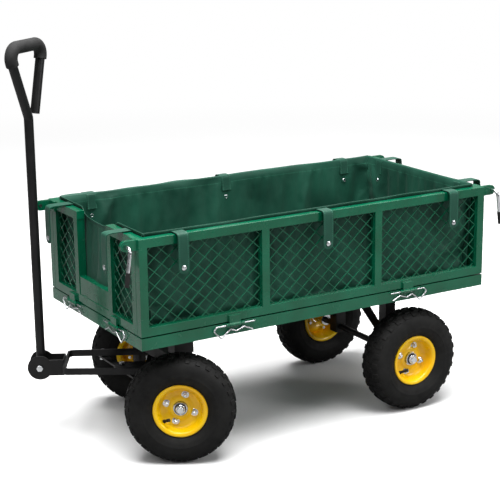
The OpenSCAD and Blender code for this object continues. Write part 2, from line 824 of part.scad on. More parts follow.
module handle_grip() {
    // Foam sleeve round the top of the loop and both of its corners.
    left_down = loop_pts[2] + unit(loop_pts[1] - loop_pts[2]) * (cut(loop_pts, 2, loop_bend) + 6);
    right_down = loop_pts[3] + unit(loop_pts[4] - loop_pts[3]) * (cut(loop_pts, 3, loop_bend) + 6);
    color(rubber) handle_frame() difference() {
        bent_bar([left_down, loop_pts[2], loop_pts[3], right_down], grip_d / 2, loop_bend);
        loop_bar(handle_d / 2 + 2 * collar);
    }
}

// ---- wheels, with their axle along Y and their outer face towards +Y ----

tyre_wall = 6;
module tyre() {
    r = wheel_d / 2;
    w = tyre_w / 2;
    bead = rim_w / 2 - 3.3;
    span = r - rim_d / 2;
    outer = [[seat_r + 0.2, bead], [rim_d / 2 - 1, bead], [rim_d / 2 + 1.5, bead + 1],
             [rim_d / 2 + 0.2 * span, w - 5], [rim_d / 2 + 0.42 * span, w],
             [rim_d / 2 + 0.72 * span, w - 3], [r - 3, w - 12], [r, 0.3 * w]];
    inner = [[r - 9, 0.3 * w], [r - 11, w - 16], [rim_d / 2 + 0.68 * span, w - 9],
             [rim_d / 2 + 0.42 * span, w - tyre_wall], [rim_d / 2 + 0.2 * span, w - 11],
             [rim_d / 2, bead - 5], [seat_r + 0.2, bead - 7]];
    half = concat(outer, [[r, 0], [r - 9, 0]], inner);
    color(rubber) union() {
        rotate([90, 0, 0]) rotate_extrude($fn = 96) polygon(half);
        rotate([-90, 0, 0]) rotate_extrude($fn = 96) polygon(half);
        valve();
    }
}

valve_turn = 245;
valve_out = 14;
valve_l = 16;
module valve() {
    // Valve stem of the inner tube, through the rim's bowl.
    rotate([0, valve_turn, 0]) translate([seat_r - valve_l - 10, valve_out, 0]) rotate([0, 90, 0])
        cylinder(d = 8, h = valve_l);
}

rim_bolts = 4;
rim_bolt_d = 8;
rim_bolt_turn = 20;
module around_rim() {
    for (k = [0 : rim_bolts - 1]) rotate([0, 360 / rim_bolts * k + rim_bolt_turn, 0])
        translate([rim_pcd / 2, 0, 0]) rotate([90, 0, 0]) children();
}

module wheel_rim() {
    lip = rim_w / 2;
    half = [[hub_d / 2, 0], [seat_r - 14, 0], [seat_r - 4, lip - 22], [seat_r - 2, lip - 3],
            [rim_d / 2, lip - 3], [rim_d / 2, lip], [seat_r - 4, lip],
            [seat_r - 6.5, lip - 19], [seat_r - 15, disc_t / 2], [hub_d / 2, disc_t / 2]];
    color(yellow) difference() {
        union() for (a = [-90, 90]) rotate([a, 0, 0]) rotate_extrude($fn = 96) polygon(half);
        around_rim() cylinder(d = rim_bolt_d, h = 20, center = true);
    }
}

module hub() {
    // Hub tube with its two bearings, and the rim's bolts and nuts.
    color(zinc) union() {
        difference() {
            rotate([90, 0, 0]) translate([0, 0, -hub_out]) cylinder(d = hub_d, h = hub_in + hub_out);
            rotate([90, 0, 0]) cylinder(r = axle_d / 2 + hub_clear, h = 4 * hub_in, center = true);
        }
        around_rim() {
            cylinder(d = rim_bolt_d, h = 22, center = true);
            for (s = [0, 1]) mirror([0, 0, s]) translate([0, 0, disc_t / 2])
                cylinder(d = 14, h = 6, $fn = 6);
        }
    }
}

module at_front_left() { steered(kingpin_y) translate([0, wheel_offset, axle_z]) children(); }
module at_front_right() {
    steered(-kingpin_y) translate([0, -wheel_offset, axle_z]) rotate([0, 0, 180]) children();
}
module at_rear_left() { translate([-rear_axle_x, rear_track, axle_z]) children(); }
module at_rear_right() {
    translate([-rear_axle_x, -rear_track, axle_z]) rotate([0, 0, 180]) children();
}

tray_rim();
floor_mesh();
cross_members();
front_axle_frame();
rear_axle_frame();
rear_axle_shaft();
steering_bolt();
frame_bolts();
r_clips();
liner_floor();
side_panel_frame();  // left_panel_frame
side_panel_mesh();  // left_panel_mesh
side_straps();  // left_straps
side_studs();  // left_studs
side_liner_wall();  // left_liner_wall
on_right() side_panel_frame();  // right_panel_frame
on_right() side_panel_mesh();  // right_panel_mesh
on_right() side_straps();  // right_straps
on_right() side_studs();  // right_studs
on_right() side_liner_wall();  // right_liner_wall
front_gate_frame();
front_gate_mesh();
gate_straps(front_strap_y);  // front_straps
gate_studs(front_strap_y);  // front_studs
gate_liner_wall();  // front_liner_wall
rear_gate_frame();
rear_gate_mesh();
on_rear() gate_straps(rear_strap_y);  // rear_straps
on_rear() gate_studs(rear_strap_y);  // rear_studs
on_rear() gate_liner_wall();  // rear_liner_wall
latch_rod();  // front_left_latch_rod
latch_grip();  // front_left_latch_grip
on_right() latch_rod();  // front_right_latch_rod
on_right() latch_grip();  // front_right_latch_grip
on_rear() latch_rod();  // rear_left_latch_rod
on_rear() latch_grip();  // rear_left_latch_grip
on_rear() on_right() latch_rod();  // rear_right_latch_rod
on_rear() on_right() latch_grip();  // rear_right_latch_grip
steered(kingpin_y) knuckle_body(1);  // left_knuckle
steered(-kingpin_y) knuckle_body(-1);  // right_knuckle
steered(0) drawbar();
steered(0) tongue_head();
tie_rod();
tie_rod_bolts();
steered(0) handle_tube();
steered(0) handle_grip();
steered(0) handle_bolt();
at_front_left() tyre();  // front_left_tyre
at_front_left() wheel_rim();  // front_left_rim
at_front_left() hub();  // front_left_hub
at_front_right() tyre();  // front_right_tyre
at_front_right() wheel_rim();  // front_right_rim
at_front_right() hub();  // front_right_hub
at_rear_left() tyre();  // rear_left_tyre
at_rear_left() wheel_rim();  // rear_left_rim
at_rear_left() hub();  // rear_left_hub
at_rear_right() tyre();  // rear_right_tyre
at_rear_right() wheel_rim();  // rear_right_rim
at_rear_right() hub();  // rear_right_hub
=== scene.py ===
"""The looks of a four-wheel garden cart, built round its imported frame.

Steel pieces are the frame's own solids with their edges rounded. The tyres, rims,
liner, straps, press studs, eyelets and valves are made here.
"""

import json
import math

import bmesh
import bpy
from mathutils import Matrix, Vector, noise


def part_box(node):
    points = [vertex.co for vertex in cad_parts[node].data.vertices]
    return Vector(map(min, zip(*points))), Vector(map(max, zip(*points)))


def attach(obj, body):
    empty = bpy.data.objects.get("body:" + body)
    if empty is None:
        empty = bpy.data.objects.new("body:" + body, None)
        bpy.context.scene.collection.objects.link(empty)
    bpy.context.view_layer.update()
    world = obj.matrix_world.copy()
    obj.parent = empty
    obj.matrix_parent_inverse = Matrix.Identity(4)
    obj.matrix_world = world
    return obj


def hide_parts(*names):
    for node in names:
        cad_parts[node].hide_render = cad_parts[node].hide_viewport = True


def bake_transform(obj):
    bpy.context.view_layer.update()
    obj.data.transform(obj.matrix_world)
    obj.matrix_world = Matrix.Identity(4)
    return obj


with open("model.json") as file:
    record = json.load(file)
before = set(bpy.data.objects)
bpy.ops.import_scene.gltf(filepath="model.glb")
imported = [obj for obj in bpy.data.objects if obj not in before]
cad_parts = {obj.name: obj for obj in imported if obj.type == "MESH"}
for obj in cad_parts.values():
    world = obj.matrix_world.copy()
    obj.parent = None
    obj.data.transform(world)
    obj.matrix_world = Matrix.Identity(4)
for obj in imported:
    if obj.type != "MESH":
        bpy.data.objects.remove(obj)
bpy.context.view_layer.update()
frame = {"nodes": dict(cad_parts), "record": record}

MM = 0.001
UP = Vector((0, 0, 1))
RECORD = frame["record"]
JOINTS = {j["name"]: j for j in RECORD["behaviour"]["joints"]}
BODY_OF = {n: b for b, names in RECORD["behaviour"]["bodies"].items() for n in names}
SLOT_OF = {s["node"]: s["material_slot"] for s in RECORD["subparts"]}
WHEELS = ("front_left", "front_right", "rear_left", "rear_right")


def low(node):
    return Vector(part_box(node)[0])


def high(node):
    return Vector(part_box(node)[1])


def smoothstep(a, b, x):
    t = min(1, max(0, (x - a) / (b - a)))
    return t * t * (3 - 2 * t)


# ---- materials ----

def colour(code):
    """An sRGB hex colour as linear red, green, blue and alpha."""
    parts = [int(code[i : i + 2], 16) / 255 for i in (1, 3, 5)]
    return tuple(c / 12.92 if c <= 0.04045 else ((c + 0.055) / 1.055) ** 2.4 for c in parts) + (1,)


def add(tree, kind, inputs=None, links=None, **settings):
    """Adds one shader node with its settings, its input values and its links."""
    made = tree.nodes.new(kind)
    for name, value in settings.items():
        setattr(made, name, value)
    for name, value in (inputs or {}).items():
        made.inputs[name].default_value = value
    for name, source in (links or {}).items():
        tree.links.new(source, made.inputs[name])
    return made


def start(name, **surface):
    """A new material with its shader's own values set. Returns it, its tree and shader."""
    made = bpy.data.materials.new(name)
    made.use_nodes = True
    tree = made.node_tree
    shader = tree.nodes["Principled BSDF"]
    for key, value in surface.items():
        shader.inputs[key.replace("_", " ")].default_value = value
    return made, tree, shader


def spots(tree, size_mm, detail=3, uv=False):
    """Noise whose blobs are about size_mm wide, on object or sheet coordinates."""
    where = add(tree, "ShaderNodeTexCoord")
    return add(tree, "ShaderNodeTexNoise", {"Scale": 1000 / size_mm, "Detail": detail},
               {"Vector": where.outputs["UV" if uv else "Object"]}).outputs["Fac"]


def between(tree, source, dark, light, lo=0.35, hi=0.65):
    """Colour that runs from dark to light as source goes from lo to hi."""
    ramp = add(tree, "ShaderNodeValToRGB", links={"Fac": source})
    ramp.color_ramp.elements[0].position = lo
    ramp.color_ramp.elements[0].color = colour(dark)
    ramp.color_ramp.elements[1].position = hi
    ramp.color_ramp.elements[1].color = colour(light)
    return ramp.outputs["Color"]


def spread(tree, source, lo, hi):
    """A number from lo to hi as source goes from 0.3 to 0.7."""
    return add(tree, "ShaderNodeMapRange",
               {"From Min": 0.3, "From Max": 0.7, "To Min": lo, "To Max": hi},
               {"Value": source}).outputs["Result"]


def bump(tree, shader, source, depth_mm, strength=1.0, under=None):
    """Raises the surface by up to depth_mm where source is 1."""
    links = {"Height": source}
    if under:
        links["Normal"] = under
    made = add(tree, "ShaderNodeBump", {"Strength": strength, "Distance": depth_mm * MM}, links)
    tree.links.new(made.outputs["Normal"], shader.inputs["Normal"])
    return made.outputs["Normal"]


def enamel(name, dark, light, peel_mm, dull):
    """Sprayed gloss enamel on steel: a clear shine over a faint orange peel."""
    made, tree, shader = start(name, Specular_IOR_Level=0.4, Coat_Weight=0.25, Coat_Roughness=0.08, IOR=1.5)
    tree.links.new(between(tree, spots(tree, 90), dark, light), shader.inputs["Base Color"])
    tree.links.new(spread(tree, spots(tree, 25), dull - 0.06, dull + 0.08), shader.inputs["Roughness"])
    bump(tree, shader, spots(tree, peel_mm, 1), 0.03, 0.15)
    return made


def powder_coat():
    """Satin polyester powder coat: black, with a fine even grain."""
    made, tree, shader = start("powder_coated_steel", IOR=1.5, Specular_IOR_Level=0.35)
    tree.links.new(between(tree, spots(tree, 60), "#0d0d0e", "#161617"), shader.inputs["Base Color"])
    tree.links.new(spread(tree, spots(tree, 18), 0.34, 0.5), shader.inputs["Roughness"])
    bump(tree, shader, spots(tree, 1.6, 2), 0.06, 0.4)
    return made


def plated(name, code, rough):
    """Zinc or chrome plate on wire and rod: bright, with faint drawing marks."""
    made, tree, shader = start(name, Metallic=1.0)
    tree.links.new(between(tree, spots(tree, 12), code, "#eceef0"), shader.inputs["Base Color"])
    tree.links.new(spread(tree, spots(tree, 6), rough, rough + 0.14), shader.inputs["Roughness"])
    bump(tree, shader, spots(tree, 1.2, 2), 0.02, 0.3)
    return made


def tyre_rubber():
    """Cured carbon-black rubber: matt, a little dusty, with a fine moulded grain."""
    made, tree, shader = start("cured_tyre_rubber", IOR=1.5, Specular_IOR_Level=0.22)
    tree.links.new(between(tree, spots(tree, 40, 5), "#101010", "#1e1e1d", 0.3, 0.75),
                   shader.inputs["Base Color"])
    tree.links.new(spread(tree, spots(tree, 14), 0.58, 0.78), shader.inputs["Roughness"])
    bump(tree, shader, spots(tree, 1.5, 3), 0.15, 0.5)
    return made


def moulded_rubber(name, code, light, cell_mm, depth_mm):
    """Foam or rubber sleeve: matt, with the small open cells of its skin."""
    made, tree, shader = start(name, Roughness=0.82, IOR=1.45)
    tree.links.new(between(tree, spots(tree, 20), code, light), shader.inputs["Base Color"])
    bump(tree, shader, spots(tree, cell_mm, 4), depth_mm, 0.8)
    return made


def seam(tree, where, axis, at_mm, thread_mm=1.1, stitch_mm=5):
    """1 on a row of stitches that runs across the sheet at one place, 0 elsewhere."""
    split = add(tree, "ShaderNodeSeparateXYZ", links={"Vector": where})
    across, along = (split.outputs[k] for k in (axis, "Y" if axis == "X" else "X"))
    near = add(tree, "ShaderNodeMath", {1: at_mm * MM, 2: thread_mm * MM / 2}, {0: across},
               operation="COMPARE")
    dash = add(tree, "ShaderNodeMath", {1: stitch_mm * MM}, {0: along}, operation="MODULO")
    length = add(tree, "ShaderNodeMath", links={0: dash.outputs[0]}, operation="ABSOLUTE")
    shown = add(tree, "ShaderNodeMath", {1: stitch_mm * 0.65 * MM}, {0: length.outputs[0]},
                operation="LESS_THAN")
    return add(tree, "ShaderNodeMath", links={0: near.outputs[0], 1: shown.outputs[0]},
               operation="MULTIPLY").outputs[0]


def coated_cloth(name, thread_mm, seams, creases_mm):
    """Coated woven polyester: dark green, with a soft shine and a plain weave.

    The threads are drawn coarser than real, so that they show. seams are rows of
    stitches: the sheet's axis that they sit on, and their place on it in mm.
    """
    made, tree, shader = start(name, Sheen_Weight=0.03, IOR=1.45, Specular_IOR_Level=0.3)
    where = add(tree, "ShaderNodeTexCoord").outputs["UV"]
    threads = []
    for turn in (0, 90):
        turned = add(tree, "ShaderNodeMapping", {"Rotation": (0, 0, math.radians(turn))}, {"Vector": where})
        threads.append(add(tree, "ShaderNodeTexWave",
                           {"Scale": 1000 / thread_mm / math.pi, "Distortion": 0.4},
                           {"Vector": turned.outputs["Vector"]}, bands_direction="X").outputs["Fac"])
    weave = add(tree, "ShaderNodeMath", links={0: threads[0], 1: threads[1]},
                operation="MULTIPLY").outputs[0]
    cloth = between(tree, spots(tree, 120, 3, True), "#133d30", "#1e5241")
    ridge = weave
    for axis, at_mm in seams:
        row = seam(tree, where, axis, at_mm)
        cloth = add(tree, "ShaderNodeMix", {7: colour("#2f6b55")}, {0: row, 6: cloth},
                    data_type="RGBA").outputs[2]
        ridge = add(tree, "ShaderNodeMath", links={0: ridge, 1: row}, operation="ADD").outputs[0]
    tree.links.new(cloth, shader.inputs["Base Color"])
    tree.links.new(spread(tree, spots(tree, 30, 3, True), 0.4, 0.56), shader.inputs["Roughness"])
    creases = bump(tree, shader, spots(tree, creases_mm, 4, True), 1.8, 0.6)
    bump(tree, shader, ridge, 0.15, 0.5, creases)
    return made


HEM_MM = 13.0
STRAP_WIDE_MM = 27.0
EDGE_SEAM_MM = 3.0
RAIL_TOP = high("left_panel_frame").z

GREEN = enamel("green_gloss_enamel", "#005136", "#006043", 4, 0.22)
YELLOW = enamel("yellow_gloss_enamel", "#ffc000", "#ffd000", 2.0, 0.3)
BLACK = powder_coat()
ZINC = plated("bright_zinc_plate", "#c3c7cb", 0.2)
CHROME = plated("chromed_steel", "#cfd3d6", 0.12)
TYRE = tyre_rubber()
LEVER = moulded_rubber("lever_rubber", "#151515", "#202020", 1.5, 0.1)
FOAM = moulded_rubber("closed_cell_foam", "#161616", "#232323", 1.8, 0.25)
CLOTH = coated_cloth("coated_polyester_cloth", 1.6, [("Y", RAIL_TOP / MM - HEM_MM)], 60)
WEBBING = coated_cloth("polyester_webbing", 1.3,
                       [("X", EDGE_SEAM_MM), ("X", STRAP_WIDE_MM - EDGE_SEAM_MM)], 30)
MATERIAL_OF_SLOT = {
    "green_enamel": GREEN, "yellow_enamel": YELLOW, "black_enamel": BLACK, "zinc": ZINC,
    "chrome": CHROME, "tyre": TYRE, "lever_rubber": LEVER, "grip_foam": FOAM, "liner_cloth": CLOTH,
}


# ---- making pieces ----

def place(mesh_in, name, material, body=None, nodes=()):
    """Turns a bmesh that is already in place into a finished piece."""
    mesh = bpy.data.meshes.new(name)
    mesh_in.to_mesh(mesh)
    mesh_in.free()
    made = bpy.data.objects.new(name, mesh)
    bpy.context.scene.collection.objects.link(made)
    mesh.materials.append(material)
    if body:
        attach(made, body)
    if nodes:
        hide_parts(*nodes)
    return made


def smooth(mesh, angle=35):
    """Shades a bmesh smoothly, with crisp edges past angle."""
    for face in mesh.faces:
        face.smooth = True
    for edge in mesh.edges:
        edge.smooth = len(edge.link_faces) == 2 and edge.calc_face_angle(0) < math.radians(angle)


def round_edges(obj, width_mm, segments=2, angle=35):
    bevel = obj.modifiers.new("rounded_edges", "BEVEL")
    bevel.width = width_mm * MM
    bevel.segments = segments
    bevel.limit_method = "ANGLE"
    bevel.angle_limit = math.radians(angle)
    bevel.harden_normals = True
    bevel.use_clamp_overlap = True


def softened(node, width_mm, segments=2):
    """A frame solid with its sharp edges rounded, standing for its node."""
    mesh = bmesh.new()
    mesh.from_mesh(frame["nodes"][node].data)
    mesh.transform(frame["nodes"][node].matrix_world)
    bmesh.ops.remove_doubles(mesh, verts=mesh.verts, dist=0.01 * MM)
    bmesh.ops.dissolve_limit(mesh, angle_limit=math.radians(1), verts=mesh.verts, edges=mesh.edges)
    smooth(mesh)
    slot = SLOT_OF[node]
    made = place(mesh, node + "_finished", MATERIAL_OF_SLOT[slot], BODY_OF[node], [node])
    if width_mm:
        round_edges(made, width_mm, segments)
    return made


def spun(profile, steps, closed=False):
    """A bmesh turned about the Y axis from (radius, y) points in metres."""
    mesh = bmesh.new()
    verts = [mesh.verts.new((r, y, 0)) for r, y in profile]
    edges = [mesh.edges.new(pair) for pair in zip(verts, verts[1:])]
    if closed:
        edges.append(mesh.edges.new((verts[-1], verts[0])))
    bmesh.ops.spin(mesh, geom=verts + edges, cent=(0, 0, 0), axis=(0, 1, 0), dvec=(0, 0, 0),
                   angle=math.tau, steps=steps, use_merge=True)
    bmesh.ops.remove_doubles(mesh, verts=mesh.verts, dist=0.001 * MM)
    bmesh.ops.recalc_face_normals(mesh, faces=mesh.faces)
    return mesh


def mm_points(points):
    return [(a * MM, b * MM) for a, b in points]


def curved(points, rounds=2):
    """Cuts the corners of an open outline so that it turns smoothly."""
    for _ in range(rounds):
        new = [points[0]]
        for (a, b), (c, d) in zip(points, points[1:]):
            new += [(0.75 * a + 0.25 * c, 0.75 * b + 0.25 * d), (0.25 * a + 0.75 * c, 0.25 * b + 0.75 * d)]
        points = new + [points[-1]]
    return points


def joined(meshes):
    """One bmesh from several, which are freed."""
    whole = bmesh.new()
    for part in meshes:
        holder = bpy.data.meshes.new("part")
        part.to_mesh(holder)
        part.free()
        whole.from_mesh(holder)
        bpy.data.meshes.remove(holder)
    return whole


# ---- wheels ----

TREAD_STEPS = 60
BLOCK_MM = 3.2


def wheel_place(wheel):
    """Stands a wheel made round the Y axis, outer face towards +Y, on its own axle."""
    joint = JOINTS[wheel + "_wheel_spin"]
    outward = Vector(joint["axis"]).normalized() * (1 if "left" in wheel else -1)
    turned = Matrix((outward.cross(UP), outward, UP)).transposed().to_4x4()
    return Matrix.Translation(joint["pos_m"]) @ turned


def tyre(wheel):
    """A round carcass whose crown and shoulders carry raised tread blocks."""
    node = wheel + "_tyre"
    radius = (high(node).z - low(node).z) / 2 / MM
    crown = radius - BLOCK_MM
    half = [(59, 26.2), (62.4, 26.6), (65.5, 27.4), (67.5, 29.2), (69.4, 31.6), (71.4, 32.4),
            (74, 34.6), (80, 37.2), (85, 38.4), (87, 39.4), (89, 38.9), (95, 39.6), (103, 38.8),
            (110, 36.4), (116.5, 32.2), (crown - 4, 26), (crown - 1.2, 17.5), (crown, 6.5)]
    whole = half + [(r, -y) for r, y in reversed(half)]
    mesh = spun(mm_points(whole), TREAD_STEPS)
    strips = {i: [] for i in range(len(whole) - 1)}
    for face in mesh.faces:
        middle = face.calc_center_median()
        reach = math.hypot(middle.x, middle.z) / MM
        side = middle.y / MM
        turn = (math.atan2(middle.z, middle.x) / math.tau) % 1
        step = int(turn * TREAD_STEPS)
        nearest = min(range(len(whole) - 1), key=lambda i: abs((whole[i][0] + whole[i + 1][0]) / 2 - reach)
                      + abs((whole[i][1] + whole[i + 1][1]) / 2 - side))
        strips[nearest].append((step, face))
    count = len(half)
    crown_left, crown_mid = count - 2, count - 1
    shoulder = [count - 4, count - 3]
    mirror = lambda i: len(whole) - 2 - i
    for strips_used, start_step in ((shoulder, 0), ([mirror(i) for i in shoulder], 1)):
        lugs = [face for i in strips_used for step, face in strips[i] if step % 2 == start_step]
        bmesh.ops.inset_region(mesh, faces=lugs, thickness=1.0 * MM, depth=0, use_even_offset=True)
        raise_faces(mesh, lugs, BLOCK_MM * 0.8)
    for strip, start_step in ((crown_left, 1), (mirror(crown_left), 0)):
        blocks = [face for step, face in strips[strip] if step % 2 == start_step]
        bmesh.ops.inset_individual(mesh, faces=blocks, thickness=0.9 * MM, depth=BLOCK_MM * MM)
    blocks = [face for step, face in strips[crown_mid] if step % 3 != 2]
    bmesh.ops.inset_individual(mesh, faces=blocks, thickness=1.1 * MM, depth=BLOCK_MM * MM)
    bmesh.ops.recalc_face_normals(mesh, faces=mesh.faces)
    smooth(mesh, 30)
    mesh.transform(wheel_place(wheel))
    made = place(mesh, wheel + "_treaded_tyre", TYRE, wheel + "_wheel", [node])
    round_edges(made, 0.5, 1, 40)
    return made


def raise_faces(mesh, faces, height_mm):
    """Lifts a group of faces along their mean normals, keeping their sides closed."""
    grown = bmesh.ops.extrude_face_region(mesh, geom=faces)
    verts = [v for v in grown["geom"] if isinstance(v, bmesh.types.BMVert)]
    lifts = {v: sum((f.normal for f in v.link_faces if f in grown["geom"]), Vector()) for v in verts}
    for vert, lift in lifts.items():
        if lift.length:
            vert.co += lift.normalized() * height_mm * MM
    bmesh.ops.delete(mesh, geom=[f for f in faces if f.is_valid], context="FACES_ONLY")


def rim(wheel):
    """A pressed steel rim: rolled flanges, drop centre and a dished disc."""
    node = wheel + "_rim"
    outer = [(63.4, 25.4), (63.5, 28.6), (61.6, 30), (58.4, 29.7), (54.4, 28), (51.8, 24), (50.6, 16),
             (48, 9), (43, 5.6), (38, 5), (31, 4.6), (27, 6.4), (23.5, 8.2), (17, 8.2)]
    back = [(17, 6), (23, 6), (27, 4.2), (31, 2.4), (40, 2.8), (46, 6), (48.4, 12), (49, 2), (49, -6),
            (51.6, -24), (54.4, -28), (58.4, -29.7), (61.6, -30), (63.5, -28.6), (63.4, -25.4), (60, -26),
            (53, -20), (51.4, -6), (51.4, 6), (53, 20), (60, 26)]
    mesh = spun(mm_points(curved(outer) + curved(back)), 96, closed=True)
    smooth(mesh, 40)
    mesh.transform(wheel_place(wheel))
    return place(mesh, wheel + "_pressed_rim", YELLOW, wheel + "_wheel", [node])


def hexagon(radius, height):
    """A nut along +Y from y = 0, with a chamfered outer face."""
    mesh = bmesh.new()
    bmesh.ops.create_cone(mesh, cap_ends=True, segments=6, radius1=radius, radius2=radius, depth=height)
    mesh.transform(Matrix.Rotation(math.radians(-90), 4, "X"))
    mesh.transform(Matrix.Translation((0, height / 2, 0)))
    edges = [e for e in mesh.edges if all(v.co.y > height * 0.9 for v in e.verts)]
    bmesh.ops.bevel(mesh, geom=edges, offset=0.8 * MM, segments=2, profile=0.5, affect="EDGES", material=-1)
    return mesh


def hub(wheel):
    """Bearing hub with its seal, washers, four bolts and nuts."""
    node = wheel + "_hub"
    barrel = [(8.1, 12.5), (9.2, 13.6), (10.5, 13.9), (13.6, 13.4), (14.2, 14), (15.8, 13.6), (16, 12.6),
              (16, 0), (16, -36.8), (15.2, -38), (9, -38), (8.1, -37)]
    parts = [spun(mm_points(barrel), 48, closed=True)]
    bolt_circle = 34 * MM
    for k in range(4):
        turn = Matrix.Rotation(math.radians(-90 * k - 20), 4, "Y") @ Matrix.Translation((bolt_circle, 0, 0))
        nut = hexagon(7 * MM, 5.6 * MM)
        nut.transform(turn @ Matrix.Translation((0, 5 * MM, 0)))
        washer = spun(mm_points([(3.9, 4.6), (3.9, 5.6), (8.6, 5.6), (9, 5.2), (9, 4.6)]), 32, closed=True)
        washer.transform(turn)
        stud = spun(mm_points([(0.01, 14.6), (3, 14.4), (3.9, 13.5), (3.9, -8), (0.01, -8)]), 24)
        stud.transform(turn)
        parts += [nut, washer, stud]
    mesh = joined(parts)
    bmesh.ops.recalc_face_normals(mesh, faces=mesh.faces)
    smooth(mesh, 35)
    mesh.transform(wheel_place(wheel))
    made = place(mesh, wheel + "_bearing_hub", CHROME, wheel + "_wheel", [node])
    seal = spun(mm_points([(9.4, 12), (9.4, 14.1), (13.3, 13.7), (13.3, 12)]), 48, closed=True)
    smooth(seal)
    seal.transform(wheel_place(wheel))
    place(seal, wheel + "_bearing_seal", LEVER, wheel + "_wheel")
    return made


VALVE_TURN = math.radians(38)


def valve(wheel):
    """Rubber valve stem with a cap, leaning out of the dish of the rim."""
    profile = [(0.01, 0), (4.4, 0), (4.2, 4), (3.5, 6), (3.2, 15), (3.9, 15.4), (4, 16), (4, 24),
               (3.4, 25.4),
               (0.01, 25.6)]
    mesh = spun(mm_points(profile), 24)
    smooth(mesh)
    lean = Matrix.Rotation(math.radians(42), 4, "Z")
    mesh.transform(Matrix.Translation((49 * MM, 13 * MM, 0)) @ lean)
    mesh.transform(Matrix.Rotation(VALVE_TURN, 4, "Y"))
    mesh.transform(wheel_place(wheel))
    return place(mesh, wheel + "_valve_stem", LEVER, wheel + "_wheel")


AXLE_BODY = {"front_left": "left_knuckle_body", "front_right": "right_knuckle_body",
             "rear_left": "tray", "rear_right": "tray"}


def axle_nut(wheel):
    """Plated washer and nut that hold the hub on its axle."""
    section = [(8.2, 15.2), (8.2, 18.9), (10.6, 18.9), (11.2, 18.3), (11.2, 15.2)]
    washer = spun(mm_points(section), 40, closed=True)
    nut = hexagon(10.2 * MM, 4.4 * MM)
    nut.transform(Matrix.Translation((0, 18.6 * MM, 0)))
    tip = spun(mm_points([(0.01, 24.3), (7.2, 24.3), (8.2, 23.4), (8.2, 20), (0.01, 20)]), 32)
    mesh = joined([washer, nut, tip])
    bmesh.ops.recalc_face_normals(mesh, faces=mesh.faces)
    smooth(mesh)
    mesh.transform(wheel_place(wheel))
    return place(mesh, wheel + "_axle_nut", CHROME, AXLE_BODY[wheel])


for wheel in WHEELS:
    axle_nut(wheel)
    tyre(wheel)
    rim(wheel)
    hub(wheel)
    valve(wheel)


# ---- steel ----

SOFT_EDGES_MM = {
    "tray_rim": 1.2, "cross_members": 1.0, "front_axle_frame": 1.2, "rear_axle_frame": 1.2,
    "rear_axle_shaft": 0.6, "steering_bolt": 0.6, "frame_bolts": 0.5,
    "left_panel_frame": 1.6, "right_panel_frame": 1.6, "front_gate_frame": 1.0, "rear_gate_frame": 1.0,
    "left_knuckle": 0.8, "right_knuckle": 0.8, "drawbar": 0.8, "tongue_head": 1.0,
    "tie_rod": 0.8, "tie_rod_bolts": 0.5, "handle_bolt": 0.6,
    "handle_tube": 0, "handle_grip": 0, "r_clips": 0, "floor_mesh": 0.6,
    "left_panel_mesh": 0.35, "right_panel_mesh": 0.35, "front_gate_mesh": 0.35, "rear_gate_mesh": 0.35,
}
for wheel in WHEELS:
    SOFT_EDGES_MM[wheel + "_latch_rod"] = 0.8
    SOFT_EDGES_MM[wheel + "_latch_grip"] = 0.8
for node, width in SOFT_EDGES_MM.items():
    softened(node, width, 1 if width < 0.7 else 2)


# ---- liner ----

CLOTH_MM = 1.2
CELL_MM = 9.0
SLACK = 0.045
HEM_ABOVE = 7 * MM
CORNER_LAP = 22 * MM
# Creases of each wall: two ends, as shares of half its length and of its height,
# then how far it stands inwards and its width, in mm.
CREASES = {
    "left": (((0.62, 0.95), (0.9, 0.3), 10, 20), ((-0.3, 0.9), (-0.05, 0.3), 6, 26)),
    "right": (((0.68, 1.0), (0.93, 0.25), 20, 24), ((0.25, 0.95), (0.42, 0.3), 8, 26),
              ((-0.22, 0.9), (-0.02, 0.4), 6, 30), ((-0.58, 0.95), (-0.46, 0.2), 9, 18)),
    "front": (((0.3, 0.8), (0.72, 0.3), 8, 20), ((-0.75, 0.9), (-0.35, 0.25), 9, 18)),
    "rear": (((0.88, 0.95), (0.6, 0.2), 12, 16), ((0.3, 0.9), (0.42, 0.25), 6, 22),
             ((-0.7, 0.9), (-0.85, 0.2), 8, 18)),
}
CUT_OUT = 78 * MM
CUT_OUT_DIP = 17 * MM
LEAN_IN = 12 * MM
WALLS = {
    "left": ("left_panel", "left_liner_wall", "left_panel_frame"),
    "right": ("right_panel", "right_liner_wall", "right_panel_frame"),
    "front": ("front_gate", "front_liner_wall", "front_gate_frame"),
    "rear": ("rear_gate", "rear_liner_wall", "rear_gate_frame"),
}


class Wall:
    """One upright side of the liner, with its own along, outward and up directions."""

    def __init__(self, side):
        self.side = side
        self.body, self.node, frame_node = WALLS[side]
        self.outward = {"left": Vector((0, 1, 0)), "right": Vector((0, -1, 0)),
                        "front": Vector((1, 0, 0)), "rear": Vector((-1, 0, 0))}[side]
        self.along = UP.cross(self.outward)
        lo, hi = low(self.node), high(self.node)
        self.length = abs((hi - lo).dot(self.along)) + CORNER_LAP
        self.plane = max(lo.dot(self.outward), hi.dot(self.outward)) - 1 * MM
        self.rail = max(low(frame_node).dot(self.outward), high(frame_node).dot(self.outward))

    def point(self, along, out, up):
        return self.along * along + self.outward * (self.plane + out) + UP * up


def sheet_grid(name, wide, tall, cell):
    """A flat grid in the XY plane with its own UV map in metres."""
    mesh = bmesh.new()
    bmesh.ops.create_grid(mesh, x_segments=max(2, round(wide / cell)), y_segments=max(2, round(tall / cell)),
                          size=0.5)
    mesh.transform(Matrix.Diagonal((wide, tall, 1, 1)))
    uv = mesh.loops.layers.uv.new("flat_cloth")
    for face in mesh.faces:
        for loop in face.loops:
            loop[uv].uv = (loop.vert.co.x, loop.vert.co.y + tall / 2)
    return mesh


